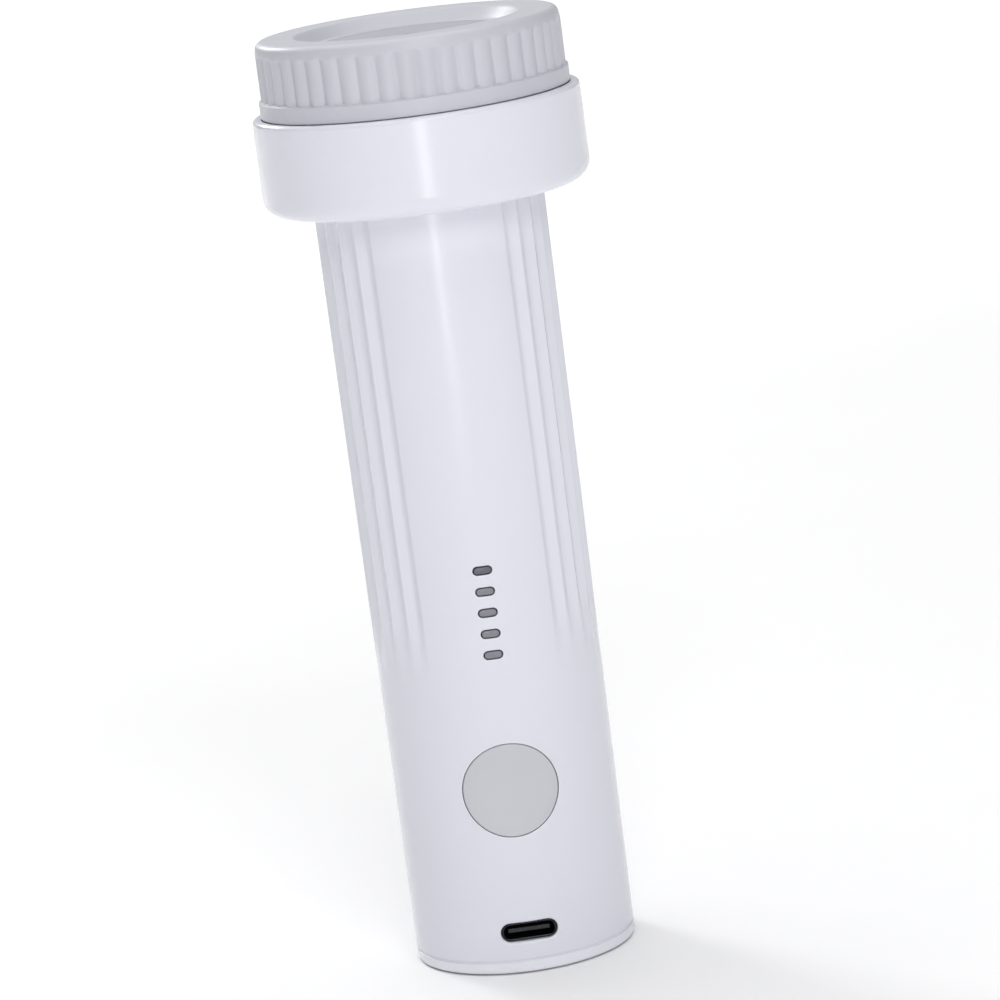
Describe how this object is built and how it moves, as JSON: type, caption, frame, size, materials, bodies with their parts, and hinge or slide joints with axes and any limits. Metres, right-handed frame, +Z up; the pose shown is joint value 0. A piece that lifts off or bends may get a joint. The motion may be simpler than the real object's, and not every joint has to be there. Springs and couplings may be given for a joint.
{
  "type": "vacuum sealer",
  "caption": "Upright cordless handheld vacuum sealer: fluted round body, wide collar, ribbed screw-on suction ring, round power button, indicator windows and charging socket.",
  "frame": {"origin": "centre of the underside of the base cap, on the surface the sealer stands on", "axes": "+Z up along the body to the suction ring, -Y towards the front with the button and lights, +X to the right of someone facing the front"},
  "size_m": [0.0514, 0.0514, 0.1488],
  "materials": {
    "white_shell": "semi-gloss white ABS with a very fine moulded grain",
    "grey_grip": "matte light grey ABS with a fine spark-eroded grain",
    "button_grey": "satin light grey plastic",
    "window": "smoked translucent light pipe",
    "natural_plastic": "undyed nylon",
    "black_plastic": "satin black plastic",
    "silicone": "translucent silicone rubber",
    "rubber": "matte black rubber",
    "steel": "zinc-plated steel",
    "dark_steel": "blackened steel shell",
    "copper": "enamelled copper windings on steel laminations",
    "magnet": "sintered ferrite",
    "circuit_board": "green solder mask",
    "cell_wrap": "blue shrink wrap over a steel can",
    "foam": "open-cell filter foam",
    "led": "moulded LED package"
  },
  "bodies": {
    "casing": {"body_tube": "white_shell", "base_cap": "white_shell", "head_collar": "white_shell", "head_deck": "natural_plastic", "deck_gasket": "silicone", "port_o_ring": "rubber", "base_screw_1": "steel", "base_screw_2": "steel", "deck_screw_1": "steel", "deck_screw_2": "steel", "deck_screw_3": "steel", "light_window_1": "window", "light_window_2": "window", "light_window_3": "window", "light_window_4": "window", "light_window_5": "window", "status_led_1": "led", "status_led_2": "led", "status_led_3": "led", "status_led_4": "led", "status_led_5": "led", "control_board": "circuit_board", "switch_body": "black_plastic", "usb_shell": "dark_steel", "usb_tongue": "black_plastic", "chassis": "natural_plastic", "battery_cell": "cell_wrap", "battery_tab_top": "steel", "battery_tab_bottom": "steel", "motor_lead_positive": "rubber", "motor_lead_negative": "rubber", "motor_can": "steel", "motor_end_bell": "black_plastic", "motor_magnet_1": "magnet", "motor_magnet_2": "magnet", "motor_damper": "rubber", "pump_crankcase": "black_plastic", "pump_diaphragm": "rubber", "pump_valve_plate": "natural_plastic", "pump_head": "black_plastic", "pump_hose": "silicone", "pump_screw_1": "steel", "pump_screw_2": "steel", "pump_screw_3": "steel", "pump_screw_4": "steel"},
    "button": {"power_button": "button_grey"},
    "plunger": {"switch_plunger": "black_plastic"},
    "rotor": {"motor_shaft": "steel", "motor_armature": "copper", "crank_hub": "black_plastic"},
    "wobble_plate": {"drive_plate": "natural_plastic"},
    "filter_insert": {"filter_cup": "grey_grip", "filter_foam": "foam", "inlet_plate": "grey_grip"},
    "ring": {"grip_ring": "grey_grip", "ring_clip": "grey_grip"}
  },
  "joints": [
    {"name": "button_press", "type": "slide", "parent": "casing", "child": "button", "axis": [0, 1, 0], "range_m": [0, 0.0005], "stiffness_N_per_m": 400, "springref_m": -0.0005},
    {"name": "plunger_travel", "type": "slide", "parent": "casing", "child": "plunger", "axis": [0, 1, 0], "range_m": [0, 0.0005]},
    {"name": "motor_spin", "type": "hinge", "parent": "casing", "child": "rotor", "pos_m": [0, 0, 0.094], "axis": [0, 0, 1], "continuous": true},
    {"name": "plate_rock", "type": "hinge", "parent": "casing", "child": "wobble_plate", "pos_m": [0, 0, 0.1167], "axis": [1, 0, 0], "range_deg": [-3.5, 3.5], "stiffness_Nm_per_rad": 0.02},
    {"name": "insert_lift", "type": "slide", "parent": "casing", "child": "filter_insert", "axis": [0, 0, 1], "range_m": [0, 0.003]},
    {"name": "ring_turn", "type": "hinge", "parent": "filter_insert", "child": "ring", "pos_m": [0, 0, 0.143], "axis": [0, 0, 1], "range_deg": [0, 360]}
  ],
  "couplings": [
    {"joint": "plunger_travel", "follows": "button_press", "ratio": 1},
    {"joint": "insert_lift", "follows": "ring_turn", "m_per_rad": 0.000477}
  ]
}
